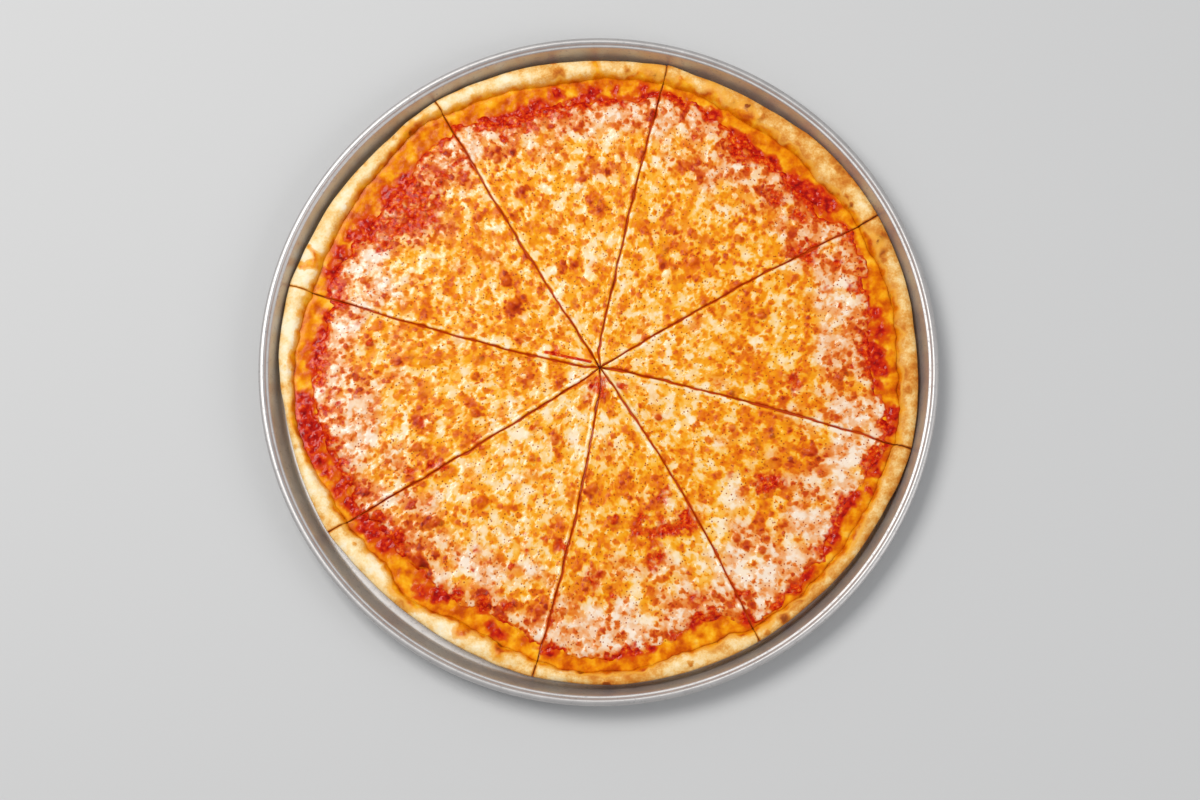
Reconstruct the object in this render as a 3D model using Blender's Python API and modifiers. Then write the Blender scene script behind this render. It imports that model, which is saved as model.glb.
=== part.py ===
"""A cheese pizza cut into eight slices, lying in its round aluminium pan.

Blender 4.5, metres, +Z up. The origin is the centre of the pan's underside.
Each slice is three solids: the baked dough with its raised rim, the sauce on it, and the cheese on that.
"""

import math

import bmesh
import bpy
from mathutils import Vector, noise

MM = 0.001

# Pan: spun aluminium sheet. Its wall slopes out to a small rounded step, and the rolled edge rises from that.
PAN_RADIUS = 242.0 * MM
PAN_HEIGHT = 22.0 * MM
PAN_SHEET = 1.2 * MM
PAN_FOOT_RADIUS = 226.5 * MM
PAN_FOOT_FILLET = 3.0 * MM
WALL_TILT = 18.0
STEP_RADIUS = 1.3 * MM
STEP_CENTRE = (236.0 * MM, 18.8 * MM)
BEAD_RADIUS = 2.7 * MM
PAN_STEPS = 96

# Pizza: the heights of its layers, from the pan's floor up.
CLEARANCE = 0.3 * MM
DOUGH_UNDERSIDE = PAN_SHEET + CLEARANCE
DOUGH_THICKNESS = 4.0 * MM
SAUCE_THICKNESS = 0.9 * MM
CHEESE_THICKNESS = 2.0 * MM
RIM_RISE = 7.4 * MM
RIM_UNEVENNESS = 1.1 * MM
CREASE_WIDTH = 2.5 * MM
CHEESE_LUMPS = 0.5 * MM
PIZZA_STEPS = 144

# Cuts: one roller cut to the rim between each two slices, all meeting near the centre.
HUB = Vector((1.0 * MM, -1.0 * MM, 0.0))
KERF = 1.0 * MM

# Nominal radii that the layers' profiles are drawn with, before each slice's own radii warp them.
NOMINAL_INNER = 214.0 * MM
NOMINAL_OUTER = 228.0 * MM
NOMINAL_SAUCE = 208.0 * MM
NOMINAL_CHEESE = 202.0 * MM

# Each slice, counter-clockwise from the right: where its first cut meets the rim, in degrees, and, at
# equal steps from there to its last cut, the rim's outer and inner radius and the edges of the sauce
# and the cheese, in millimetres.
SLICES = (
    {"name": "right", "start": -15.2, "outer": (230.4, 229.0, 228.2, 229.9, 231.0),
     "inner": (217.0, 215.0, 213.6, 216.0, 212.0), "sauce": (213.0, 211.0, 208.5, 203.5, 206.0),
     "cheese": (208.5, 207.0, 194.5, 201.5, 203.5)},
    {"name": "upper_right", "start": 28.7, "outer": (231.0, 230.7, 228.5, 228.3, 230.2),
     "inner": (215.0, 210.3, 211.0, 210.8, 216.5), "sauce": (209.0, 207.5, 202.0, 207.5, 212.0),
     "cheese": (206.0, 194.0, 194.0, 198.0, 208.0)},
    {"name": "top", "start": 77.3, "outer": (229.3, 227.8, 228.2, 228.9, 230.2),
     "inner": (215.0, 215.5, 211.0, 215.0, 218.0), "sauce": (211.0, 211.5, 207.5, 204.5, 209.0),
     "cheese": (206.0, 200.0, 197.0, 196.0, 204.5)},
    {"name": "upper_left", "start": 121.2, "outer": (229.8, 227.2, 228.0, 228.2, 230.3),
     "inner": (220.0, 216.5, 214.3, 213.5, 212.5), "sauce": (206.0, 203.0, 206.5, 206.5, 208.5),
     "cheese": (202.0, 196.0, 193.0, 197.0, 199.5)},
    {"name": "left", "start": 165.2, "outer": (229.5, 230.0, 226.2, 225.6, 225.6),
     "inner": (216.0, 217.0, 219.3, 217.0, 210.0), "sauce": (206.0, 211.5, 216.5, 212.5, 207.0),
     "cheese": (198.0, 204.0, 206.0, 203.0, 202.5)},
    {"name": "lower_left", "start": 212.2, "outer": (225.6, 223.0, 222.2, 223.5, 225.8),
     "inner": (210.0, 205.0, 211.0, 207.5, 210.5), "sauce": (207.0, 202.0, 204.5, 203.5, 206.5),
     "cheese": (198.0, 190.0, 193.0, 197.0, 204.0)},
    {"name": "bottom", "start": 258.2, "outer": (225.8, 226.9, 226.8, 226.3, 226.5),
     "inner": (213.5, 217.0, 215.0, 211.5, 212.5), "sauce": (210.5, 209.5, 206.0, 202.5, 206.5),
     "cheese": (206.5, 201.0, 199.5, 192.0, 200.0)},
    {"name": "lower_right", "start": 299.8, "outer": (226.6, 226.1, 226.9, 227.7, 230.3),
     "inner": (215.5, 216.0, 215.7, 215.0, 214.0), "sauce": (212.0, 212.0, 208.5, 207.5, 210.5),
     "cheese": (209.0, 207.5, 203.5, 201.5, 206.0)},
)


def clear_scene():
    for obj in list(bpy.data.objects):
        bpy.data.objects.remove(obj, do_unlink=True)


def new_collection(name):
    collection = bpy.data.collections.new(name)
    bpy.context.scene.collection.children.link(collection)
    return collection


def new_material(name, colour, roughness, metallic=0.0):
    material = bpy.data.materials.new(name)
    material.use_nodes = True
    shader = material.node_tree.nodes["Principled BSDF"]
    shader.inputs["Base Color"].default_value = (*colour, 1.0)
    shader.inputs["Roughness"].default_value = roughness
    shader.inputs["Metallic"].default_value = metallic
    material.diffuse_color = (*colour, 1.0)
    return material


def arc(centre, radius, first_deg, last_deg, count):
    """Points (r, z) on a circular arc, from the first angle to the last."""
    angles = [math.radians(first_deg + (last_deg - first_deg) * i / (count - 1)) for i in range(count)]
    return [(centre[0] + radius * math.cos(a), centre[1] + radius * math.sin(a)) for a in angles]


def turned(name, profile, steps, collection):
    """A profile of (r, z) points, from the axis over the top and down to the axis again, turned about Z."""
    mesh = bpy.data.meshes.new(name)
    points = [(r, 0.0, z) for r, z in profile]
    mesh.from_pydata(points, [(i, i + 1) for i in range(len(points) - 1)], [])
    obj = bpy.data.objects.new(name, mesh)
    collection.objects.link(obj)
    screw = obj.modifiers.new("Turn", "SCREW")
    screw.axis = "Z"
    screw.angle = math.tau
    screw.steps = screw.render_steps = steps
    screw.use_merge_vertices = True
    screw.merge_threshold = 0.00001
    return obj


def build_pan(collection):
    """Floor, foot fillet, sloping wall, rounded step and rolled edge, as one turned sheet."""
    tilt = math.radians(WALL_TILT)
    foot_centre = (PAN_FOOT_RADIUS, PAN_SHEET + PAN_FOOT_FILLET)
    bead_centre = (PAN_RADIUS - BEAD_RADIUS, PAN_HEIGHT - BEAD_RADIUS)
    foot_inside = arc(foot_centre, PAN_FOOT_FILLET, -90, -WALL_TILT, 4)
    step = arc(STEP_CENTRE, STEP_RADIUS, 180 - WALL_TILT, 70, 4)
    bead = arc(bead_centre, BEAD_RADIUS, 155, -125, 10)
    drop = step[0][1] - bead[-1][1]
    wall_top_outside = (step[0][0] - drop * math.tan(tilt) + PAN_SHEET / math.cos(tilt), bead[-1][1])
    foot_outside = arc(foot_centre, PAN_FOOT_FILLET + PAN_SHEET, -WALL_TILT, -90, 4)
    profile = [(0.0, PAN_SHEET), *foot_inside, *step, *bead, wall_top_outside, *foot_outside, (0.0, 0.0)]
    pan = turned("pan", profile, PAN_STEPS, collection)
    pan.data.materials.append(new_material("aluminium", (0.72, 0.72, 0.73), 0.3, 1.0))
    return pan


def smooth_between(values, share):
    """The value at a share from 0 to 1 along equally spaced values, eased from each to the next."""
    place = min(max(share, 0.0), 1.0) * (len(values) - 1)
    index = min(int(place), len(values) - 2)
    ease = place - index
    ease = ease * ease * (3 - 2 * ease)
    return values[index] * (1 - ease) + values[index + 1] * ease


def end_of(index):
    """The angle in degrees where slice number index ends: where the next begins."""
    if index + 1 < len(SLICES):
        return SLICES[index + 1]["start"]
    return SLICES[0]["start"] + 360.0


def radius_at(index, key, angle):
    """A slice's radius of the given kind at an angle in radians, in metres."""
    start = SLICES[index]["start"]
    turned_by = (math.degrees(angle) - start + 180.0) % 360.0 - 180.0
    if turned_by < -90.0:
        turned_by += 360.0
    return smooth_between(SLICES[index][key], turned_by / (end_of(index) - start)) * MM


def rim_height(angle):
    """How much higher or lower than usual the rim stands here: slow swells with smaller bubbles."""
    slow = noise.noise(Vector((3.1 * math.cos(angle), 3.1 * math.sin(angle), 0.7)))
    quick = noise.noise(Vector((11.0 * math.cos(angle), 11.0 * math.sin(angle), 4.2)))
    return RIM_UNEVENNESS * (1.1 * slow + 0.6 * quick)


def cheese_lump(x, y):
    """How much higher or lower than usual the melted cheese stands here."""
    broad = noise.noise(Vector((x / (34 * MM), y / (34 * MM), 1.3)))
    fine = noise.noise(Vector((x / (15 * MM), y / (15 * MM), 6.1)))
    return CHEESE_LUMPS * (broad + 0.7 * fine)


def dough_profile():
    """From the hub over the flat dough and the rim, whose widest part is high, and back underneath."""
    flat = DOUGH_UNDERSIDE + DOUGH_THICKNESS
    inner, outer = NOMINAL_INNER, NOMINAL_OUTER
    width = outer - inner
    over = [(0.0, 0.06), (0.07, 0.40), (0.20, 0.76), (0.38, 0.97), (0.55, 1.0), (0.78, 0.94),
            (0.94, 0.80), (1.0, 0.58)]
    tuck = [(1.3 * MM, 4.5 * MM), (2.6 * MM, 1.5 * MM), (5.5 * MM, 0.0)]
    rim = [(inner + share * width, flat + rise * RIM_RISE) for share, rise in over]
    under = [(outer - inset, DOUGH_UNDERSIDE + height) for inset, height in tuck]
    return [(0.0, flat), (inner - CREASE_WIDTH, flat), *rim, *under, (0.0, DOUGH_UNDERSIDE)]


def slab_profile(radius, low, high, rings, edge):
    """A flat round slab with a rounded edge, with this many rings over its top."""
    top = [(radius * i / rings, high) for i in range(rings)]
    return [*top, (radius - edge, high), (radius - 0.3 * edge, high - 0.3 * (high - low)),
            (radius, low + 0.25 * (high - low)), (radius - 0.3 * edge, low), (0.0, low)]


def warp_dough(vertex, index):
    x, y, z = vertex.co
    radius = math.hypot(x, y)
    if radius < 1e-6:
        return
    angle = math.atan2(y, x)
    inner = radius_at(index, "inner", angle)
    outer = radius_at(index, "outer", angle)
    if radius <= NOMINAL_INNER:
        warped = radius * inner / NOMINAL_INNER
    else:
        share = (radius - NOMINAL_INNER) / (NOMINAL_OUTER - NOMINAL_INNER)
        warped = inner + share * (outer - inner)
    flat = DOUGH_UNDERSIDE + DOUGH_THICKNESS
    lift = rim_height(angle) * max(0.0, z - flat) / RIM_RISE
    vertex.co = (x * warped / radius, y * warped / radius, z + lift)


def warp_slab(vertex, index, key, nominal, lumpy_above):
    x, y, z = vertex.co
    radius = math.hypot(x, y)
    if radius < 1e-6:
        return
    angle = math.atan2(y, x)
    grow = radius_at(index, key, angle) / nominal
    lift = cheese_lump(x, y) if z > lumpy_above else 0.0
    vertex.co = (x * grow, y * grow, z + lift)


def keep_wedge(bm, index):
    """Cuts a whole round down to one slice, half a kerf inside each of its two cuts, and caps the cuts."""
    first = math.radians(SLICES[index]["start"])
    last = math.radians(end_of(index))
    rim_points = [(first, radius_at(index, "outer", first), 1.0), (last, radius_at(index, "outer", last), -1.0)]
    for angle, radius, side in rim_points:
        rim_point = Vector((radius * math.cos(angle), radius * math.sin(angle), 0.0))
        along = (rim_point - HUB).normalized()
        inward = Vector((-along.y, along.x, 0.0)) * side
        geometry = bm.verts[:] + bm.edges[:] + bm.faces[:]
        bmesh.ops.bisect_plane(bm, geom=geometry, dist=1e-7, plane_co=HUB + inward * KERF / 2,
                               plane_no=-inward, clear_outer=True)
        open_edges = [edge for edge in bm.edges if edge.is_boundary]
        bmesh.ops.holes_fill(bm, edges=open_edges, sides=0)
    bmesh.ops.recalc_face_normals(bm, faces=bm.faces[:])


def cut_slices(layer, whole, warp, material, collection):
    """One object for each slice of a turned layer: the round is warped to the slice's radii, then cut."""
    graph = bpy.context.evaluated_depsgraph_get()
    for index, row in enumerate(SLICES):
        mesh = bpy.data.meshes.new_from_object(whole.evaluated_get(graph))
        mesh.name = f"{layer}_{row['name']}"
        bm = bmesh.new()
        bm.from_mesh(mesh)
        for vertex in bm.verts:
            warp(vertex, index)
        keep_wedge(bm, index)
        bm.to_mesh(mesh)
        bm.free()
        mesh.materials.clear()
        mesh.materials.append(material)
        mesh.shade_smooth()
        mesh.set_sharp_from_angle(angle=math.radians(40))
        collection.objects.link(bpy.data.objects.new(mesh.name, mesh))
    bpy.data.objects.remove(whole, do_unlink=True)


def build_dough(collection):
    whole = turned("whole_dough", dough_profile(), PIZZA_STEPS, collection)
    baked = new_material("baked_dough", (0.80, 0.56, 0.28), 0.75)
    cut_slices("dough", whole, warp_dough, baked, collection)


def build_sauce(collection):
    low = DOUGH_UNDERSIDE + DOUGH_THICKNESS + CLEARANCE
    profile = slab_profile(NOMINAL_SAUCE, low, low + SAUCE_THICKNESS, 1, 1.5 * MM)
    whole = turned("whole_sauce", profile, PIZZA_STEPS, collection)
    tomato = new_material("tomato_sauce", (0.42, 0.03, 0.01), 0.35)

    def warp(vertex, index):
        warp_slab(vertex, index, "sauce", NOMINAL_SAUCE, math.inf)
    cut_slices("sauce", whole, warp, tomato, collection)


def build_cheese(collection):
    low = DOUGH_UNDERSIDE + DOUGH_THICKNESS + SAUCE_THICKNESS + 2 * CLEARANCE
    profile = slab_profile(NOMINAL_CHEESE, low, low + CHEESE_THICKNESS, 9, 4.0 * MM)
    whole = turned("whole_cheese", profile, PIZZA_STEPS, collection)
    melted = new_material("melted_cheese", (0.85, 0.52, 0.20), 0.4)

    def warp(vertex, index):
        warp_slab(vertex, index, "cheese", NOMINAL_CHEESE, low + 0.9 * CHEESE_THICKNESS)
    cut_slices("cheese", whole, warp, melted, collection)


def main():
    clear_scene()
    collection = new_collection("pizza_in_pan")
    build_pan(collection)
    build_dough(collection)
    build_sauce(collection)
    build_cheese(collection)


main()
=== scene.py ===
"""A cheese pizza cut into eight slices in its round aluminium pan: the finish of every surface.

Blender 4.5, metres, +Z up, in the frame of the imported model. Sizes in the script are in millimetres.
Every surface is worked out with numpy as whole arrays on a grid, and its colours come from node materials.
"""

import math

import bpy
import numpy as np
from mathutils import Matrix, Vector


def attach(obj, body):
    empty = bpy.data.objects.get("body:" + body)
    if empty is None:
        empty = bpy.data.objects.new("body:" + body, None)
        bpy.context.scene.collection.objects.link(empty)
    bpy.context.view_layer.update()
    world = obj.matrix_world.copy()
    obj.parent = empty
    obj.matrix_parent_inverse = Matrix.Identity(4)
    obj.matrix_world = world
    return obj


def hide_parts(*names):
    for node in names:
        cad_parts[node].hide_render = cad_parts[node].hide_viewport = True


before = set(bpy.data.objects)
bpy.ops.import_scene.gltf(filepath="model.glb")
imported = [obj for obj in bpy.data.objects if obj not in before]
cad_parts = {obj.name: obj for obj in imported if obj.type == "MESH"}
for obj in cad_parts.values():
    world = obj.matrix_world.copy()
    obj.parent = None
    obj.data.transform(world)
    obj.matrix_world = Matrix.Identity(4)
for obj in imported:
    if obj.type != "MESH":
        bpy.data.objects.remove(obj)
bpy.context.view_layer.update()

MM = 0.001

# The pan's section, from the underside up.
PAN_RADIUS = 242.0
PAN_HEIGHT = 22.0
PAN_SHEET = 1.2
PAN_FOOT_RADIUS = 226.5
PAN_FOOT_FILLET = 3.0
WALL_TILT = 18.0
STEP_RADIUS = 1.3
STEP_CENTRE = (236.0, 18.8)
# The rolled edge from its inner foot over the flattened top and under, measured from its outermost and
# highest point.
BEAD_SECTION = (
    (-5.2, -1.7), (-4.5, -0.7), (-3.4, -0.05), (-2.0, -0.15), (-0.7, -0.8), (-0.02, -2.1), (-0.2, -3.6),
    (-1.3, -4.8), (-2.8, -5.2), (-4.2, -4.9),
)
PAN_STEPS = 600

# The pizza's layers, from the pan's underside up.
DOUGH_UNDERSIDE = 1.5
DOUGH_TOP = 5.5
SAUCE_BOTTOM = 5.2
SAUCE_TOP = 6.7
CHEESE_BOTTOM = 6.2
CHEESE_TOP = 8.8
RIM_RISE = 7.4
BANK_RISE = 0.9
BANK_WIDTH = 10.0
SAUCE_THINNING = 9.0

# The hub where the cuts meet, the cuts' width, waves and gapes, and the wavy crease inside the rim.
HUB = (1.0, -1.0)
KERF = 0.4
CUT_WAVE = 0.6
CUT_WAVE_LENGTH = 20.0
CUT_LENGTH = 226.0
HUB_BEND = 14.0
GAPE_LENGTH = 9.0
CREASE_RADIUS = 214.0
CREASE_WAVE = 1.3
CREASE_WAVE_LENGTH = 13.0

# Each slice, counter-clockwise from the right: the angle of its first cut at the rim in degrees, how far that
# cut strays to its left at the hub and bows to its left half way, and, at equal steps from there to its last
# cut, the rim's outer and inner radius and the radius of the cheese's edge.
SLICES = (
    {"name": "right", "start": -15.2, "shift": 1.2, "bow": 2.6,
     "outer": (230.4, 229.8, 229, 228.4, 228.2, 229.4, 229.9, 230.3, 231),
     "inner": (217.5, 217, 213.7, 213.1, 213.9, 215.8, 215.7, 213, 215),
     "cheese": (209, 209, 196, 192.5, 194, 198, 202, 206, 207)},
    {"name": "upper_right", "start": 28.7, "shift": -0.4, "bow": 3.1,
     "outer": (231, 231, 230.9, 230.5, 228.8, 227.8, 228, 228.1, 230.5),
     "inner": (215, 213.2, 210.2, 212, 211.2, 210.5, 211.8, 215, 216),
     "cheese": (206, 196, 193, 195, 195, 199, 202, 206, 208)},
    {"name": "top", "start": 77.3, "shift": 3.6, "bow": 1.8,
     "outer": (229.8, 228.7, 228, 227.9, 228.4, 229, 229, 229.6, 230.4),
     "inner": (216, 215.5, 214.7, 213, 211.8, 214, 215.5, 216.5, 217.5),
     "cheese": (207, 199, 197, 197, 195.5, 195.5, 196, 201, 206)},
    {"name": "upper_left", "start": 121.2, "shift": -0.5, "bow": 1.8,
     "outer": (230.2, 229.1, 227.5, 227.3, 227.8, 228.4, 228.2, 229, 230.4),
     "inner": (219, 221, 217, 214.5, 214.1, 213.6, 212.6, 212, 212.5),
     "cheese": (203, 201, 199, 193, 193, 193.5, 197, 200, 200)},
    {"name": "left", "start": 165.2, "shift": 2.6, "bow": 3.0,
     "outer": (230.3, 229.6, 229.5, 228, 226, 225.3, 225.4, 225.4, 225.8),
     "inner": (212.5, 215.8, 216.7, 217.8, 219.4, 218, 215, 210.5, 210.5),
     "cheese": (199, 196, 199, 202, 203, 201, 197, 197, 198)},
    {"name": "lower_left", "start": 212.2, "shift": 1.2, "bow": 1.4,
     "outer": (225.7, 223.8, 222.7, 222.3, 222.2, 222.9, 223.5, 224.8, 226),
     "inner": (210.5, 207.5, 206.2, 213, 211, 206.5, 207, 210, 213),
     "cheese": (197, 190, 193, 191, 195, 195, 191, 197, 203)},
    {"name": "bottom", "start": 258.2, "shift": 2.8, "bow": 4.2,
     "outer": (226, 226, 226.7, 227.2, 226.8, 226.6, 226.5, 226.5, 226.5),
     "inner": (213, 217, 217.5, 217, 216, 213, 212, 212, 216),
     "cheese": (206, 206, 208, 206, 204, 200, 194, 197, 208)},
    {"name": "lower_right", "start": 299.8, "shift": 0.0, "bow": 6.0,
     "outer": (226.5, 226.1, 225.8, 226.5, 227, 227, 227.6, 229.4, 230.4),
     "inner": (216, 215.5, 216.2, 215.4, 215.4, 215, 215.3, 215.3, 217),
     "cheese": (211, 212, 211, 208, 205, 202, 202, 206, 211)},
)

# Where the pizza differs from its general pattern: soft round patches, as x, y and radius under their
# strength. Each is a bell curve, as wide as this share of its radius on cheese, in sauce and for scorches.
PATCH_SPREAD = 0.66
SAUCE_SPREAD = 0.52
SCORCH_SPREAD = 0.85
# Sauce that shows red through the cheese.
RED = {
    1.2: ((199, 9, 9), (-209, -29, 8), (165, -123, 6)),
    1.1: ((202, -2, 7), (211, -34, 6), (-206, -42, 8), (-203, -53, 8), (-144, -124, 9), (64, -111, 9),
        (79, -177, 6), (195, -67, 7), (178, -98, 6)),
    1.0: ((150, 132, 9), (160, 126, 9), (209, -46, 6), (203, -55, 5), (-150, 125, 12), (-191, 68, 9),
        (-203, 15, 8), (-203, 2, 7), (-200, -66, 8), (-154, -109, 5), (-166, -115, 7), (-160, -121, 7),
        (120, -84, 8), (172, -105, 5), (160, -132, 5), (-213, -22, 6), (-211, -47, 6), (-207, -58, 6)),
    0.9: ((-70, 182, 8), (-45, 192, 11), (-31, 204, 6), (-5, 204, 9), (168, 118, 8), (152, 83, 9),
        (202, 26, 8), (-168, 104, 11), (-188, 84, 7), (-125, 148, 3), (-104, 151, 4), (-113, 142, 3),
        (-193, -77, 6), (-152, -130, 6), (46, -94, 6), (56, -116, 7), (38, -122, 8), (69, -167, 6),
        (73, -181, 5), (128, -83, 5), (113, -87, 5), (198, -77, 4), (192, -90, 4), (167, -113, 5),
        (141, 139, 6), (-211, -36, 6)),
    0.85: ((-115, -71, 8), (-27, -131, 7)),
    0.8: ((13, 207, 5), (84, 187, 8), (174, 76, 5), (183, 58, 4), (200, 40, 7), (-190, 54, 7),
        (-115, 157, 3), (-194, -31, 3), (-186, -30, 4), (-195, -35, 3), (-184, -88, 7), (-177, -98, 7),
        (-171, -106, 6), (-107, -165, 5), (2, -19, 6), (4, -9, 4), (50, -89, 4), (31, -108, 6),
        (25, -117, 6), (46, -115, 6), (10, -112, 4), (185, -93, 4), (137, -161, 6), (105, -165, 4),
        (-197, -3, 5), (106, 166, 7), (-204, -67, 5), (-199, -11, 5), (-180, 96, 6)),
    0.75: ((-82, -168, 7),),
    0.7: ((33, 207, 7), (-53, 176, 3), (-69, 169, 3), (101, 156, 6), (126, 152, 7), (144, 110, 6),
        (141, 87, 6), (192, 12, 6), (163, 56, 4), (-30, 12, 4), (-178, -29, 2.5), (-182, -71, 7),
        (-114, -165, 7), (-70, -191, 7), (9, -166, 5), (96, -166, 5), (24, -204, 7), (105, -182, 6),
        (153, -133, 4), (113, -178, 5), (-144, 104, 8), (-58, 190, 6), (-197, -48, 5), (-199, 26, 5),
        (-142, 140, 7)),
    0.6: ((99, 164, 10), (70, 146, 3), (69, 170, 3), (-164, 17, 6), (-134, -76, 8), (-88, -51, 6),
        (-125, -160, 9), (-98, -162, 5), (-65, -172, 5), (-86, -131, 3), (-88, -144, 3), (-60, -142, 5),
        (-50, -134, 3), (-52, -121, 3), (-40, -125, 4), (-45, -45, 4), (-77, -185, 6), (-5, -12, 5),
        (-33, -203, 6), (-5, -153, 9), (17, -14, 4), (43, -134, 6), (38, -141, 7), (66, -186, 4),
        (93, -80, 4), (146, -151, 5), (125, -171, 5), (185, 57, 4), (-132, 123, 9), (-157, 87, 7),
        (-189, -7, 4), (-179, -80, 5), (-187, 44, 5), (-196, 36, 5), (-188, -52, 5), (-10, 198, 6),
        (-84, 178, 6), (-12, 196, 6), (118, 158, 6), (178, 96, 5)),
    0.55: ((-128, 110, 17),),
    0.5: ((201, -14, 5), (-173, 33, 6), (-174, -22, 4), (14, -205, 5), (36, -199, 5), (105, -75, 6),
        (152, -62, 5), (141, -6, 8), (142, -14, 6), (137, -19, 5), (-124, 128, 9), (150, 110, 8),
        (133, 128, 8), (-190, -20, 5), (-183, -40, 4), (-186, -62, 4)),
    0.45: ((123, 126, 8), (185, -2, 7), (-128, -40, 7), (-121, 140, 7), (-33, 187, 8), (-50, 183, 8),
        (110, 150, 8)),
    0.4: ((-8, -26, 5), (2, -64, 6), (-17, 190, 8), (-66, 178, 8)),
    0.35: ((-152, 98, 10), (-98, 142, 8), (-163, 56, 6)),
    0.3: ((-120, 121, 12), (-138, 108, 12)),
}
# Cheese browned darker than the rest.
TOASTED = {
    0.35: ((51, 115, 4),),
    0.3: ((46, 77, 4), (101, 94, 5), (-124, 168, 14), (-125, 45, 10), (-94, -184, 7)),
    0.28: ((-116, -113, 8), (0, -152, 11)),
    0.26: ((129, -40, 13), (132, -52, 12)),
    0.25: ((123, 126, 11), (114, 162, 8), (111, 38, 12), (201, 55, 9), (-92, 189, 10), (-20, 68, 6),
        (1, 57, 6), (1, 122, 8), (-129, -105, 9), (-44, -172, 10), (141, -10, 11)),
    0.24: ((118, -60, 14), (130, -76, 12), (115, -106, 12)),
    0.22: ((75, 80, 24), (140, 58, 8), (-48, 103, 9), (-45, 58, 9), (-128, -40, 9), (12, -80, 18),
        (30, -84, 14), (42, -80, 11), (12, -157, 8), (43, -170, 10), (82, -36, 10), (136, -64, 12),
        (125, -100, 9), (92, -24, 8), (118, -29, 7), (-115, 135, 20), (-54, 44, 9)),
    0.2: ((45, 97, 20), (70, 78, 8), (99, 164, 14), (196, 78, 9), (-20, 110, 8), (-115, -70, 10),
        (-134, -78, 10), (-150, -84, 6), (-106, -112, 6), (-130, -160, 10), (-68, -187, 12), (-6, -24, 7),
        (26, -144, 8), (14, -141, 6), (90, -181, 9), (41, -36, 9), (111, -36, 9), (108, -48, 7),
        (104, -64, 8), (139, -80, 8), (118, -114, 8), (154, -17, 5), (176, -130, 5), (-71, 62, 9),
        (-63, 38, 8)),
    0.18: ((-140, 95, 16),),
    0.16: ((-55, -5, 26), (-130, -5, 16), (-33, -1, 18), (70, -94, 8)),
    0.15: ((-128, 110, 18), (-26, -131, 8), (62, -192, 9)),
    0.14: ((60, 40, 34), (-125, -20, 10), (-92, -55, 12), (20, -62, 14), (75, -81, 10), (118, -6, 10),
        (144, -97, 6)),
    0.12: ((-20, 40, 26), (35, -115, 18), (-118, 62, 14), (-100, 92, 14)),
    0.1: ((150, 96, 14), (-70, 160, 22), (120, 110, 22), (-88, 122, 12), (-140, 40, 12)),
    0.07: ((-60, 30, 30),),
    0.06: ((-90, 70, 30),),
    0.05: ((91, -4, 18),),
}
# Cheese left whiter than the rest.
PALE = {
    0.35: ((50, -106, 5),),
    0.34: ((91, -96, 12), (98, -142, 18), (180, -70, 12)),
    0.3: ((-121, 108, 5), (-198, -18, 4), (-149, -101, 7), (-157, -106, 4), (-115, -154, 5), (-14, -17, 8),
        (48, -100, 4), (64, -181, 5), (105, -98, 7), (91, -111, 11), (116, -146, 15), (150, -111, 13),
        (186, -62, 8), (-10, -198, 12), (-34, -193, 10), (22, -194, 10)),
    0.28: ((178, 52, 12), (-178, -43, 15), (-30, -29, 11), (201, -33, 7)),
    0.26: ((184, -38, 11),),
    0.25: ((69, 186, 6), (-110, 160, 8), (-188, 24, 12), (-172, -56, 11), (-190, -9, 7), (-96, -141, 6),
        (-57, -45, 8), (54, -146, 12), (33, -191, 8), (86, -126, 9), (158, -117, 8), (56, -184, 10)),
    0.24: ((-86, -129, 13), (5, -183, 12)),
    0.22: ((17, 190, 12), (78, 108, 12), (-41, -141, 11), (112, -158, 12)),
    0.2: ((-88, 169, 12), (38, 135, 6), (41, 155, 6), (45, 178, 6), (83, 176, 6), (98, 145, 8),
        (165, 102, 13), (-155, 68, 25), (-180, -24, 8), (-64, -122, 12), (-5, -33, 8), (36, -21, 10),
        (172, -80, 10)),
    0.18: ((77, -150, 9),),
    0.16: ((64, -21, 8),),
    0.15: ((-163, 84, 12), (20, -176, 14), (128, -140, 12), (160, -38, 12)),
    0.14: ((-176, 45, 14),),
    0.12: ((46, -34, 14), (-60, -150, 16), (152, -88, 8)),
    0.1: ((-1, 176, 20), (165, 30, 18), (-150, -55, 20), (-80, -92, 32), (8, -46, 12), (60, -40, 12)),
    0.09: ((-58, -62, 26),),
    0.08: ((-36, 30, 16),),
    0.07: ((74, 16, 24),),
    0.06: ((-70, -90, 26),),
}
# Blisters, as x, y, radius and how dark they are browned.
BLISTERS = (
    (-66, 62, 4.6, 1.0), (-60, 45.6, 5.4, 1.0), (-74, 153, 3.5, 0.6), (-55, 130, 3.5, 0.9),
    (-12, 139, 3, 0.6), (-17, 75.5, 4, 0.8), (-3, 124, 3, 0.6), (4, 119, 3, 0.6), (21, 182, 2.5, 0.5),
    (51, 115, 2.5, 0.8), (46, 77, 3, 0.7), (70, 78, 4, 0.6), (101, 94, 3, 0.6), (-82, -98, 5.5, 0.8),
    (-116, -112, 4, 0.6), (-48, -67, 4, 0.45), (-31, -54, 3.5, 0.4), (-128, -142, 8.5, 1.25),
    (-82, -168, 5, 0.7), (-65, -172, 4, 0.6), (-41, -175, 4, 0.8), (-88, -34, 4, 0.5),
    (-27.6, -10.4, 3, 0.5), (-88, -7, 4, 0.6), (-129, -59, 4, 0.4), (-4, -88, 4.5, 0.6),
    (10, -112, 3.5, 0.7), (5.3, -211, 5, 1.2), (98, -124, 4, 0.6), (152, -62, 4.5, 0.8),
    (105, -165, 3.5, 0.8), (95, -45, 3.5, 0.5), (173, -7, 3.5, 0.5), (115, -132, 3.5, 0.4),
    (-164, 17, 3.5, 0.6), (117, 37, 4, 0.6), (105, 42, 3.5, 0.6), (43, -37, 3.5, 0.5), (81, -163, 3, 0.4),
    (-25, -175, 3.5, 0.4),
)
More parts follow.
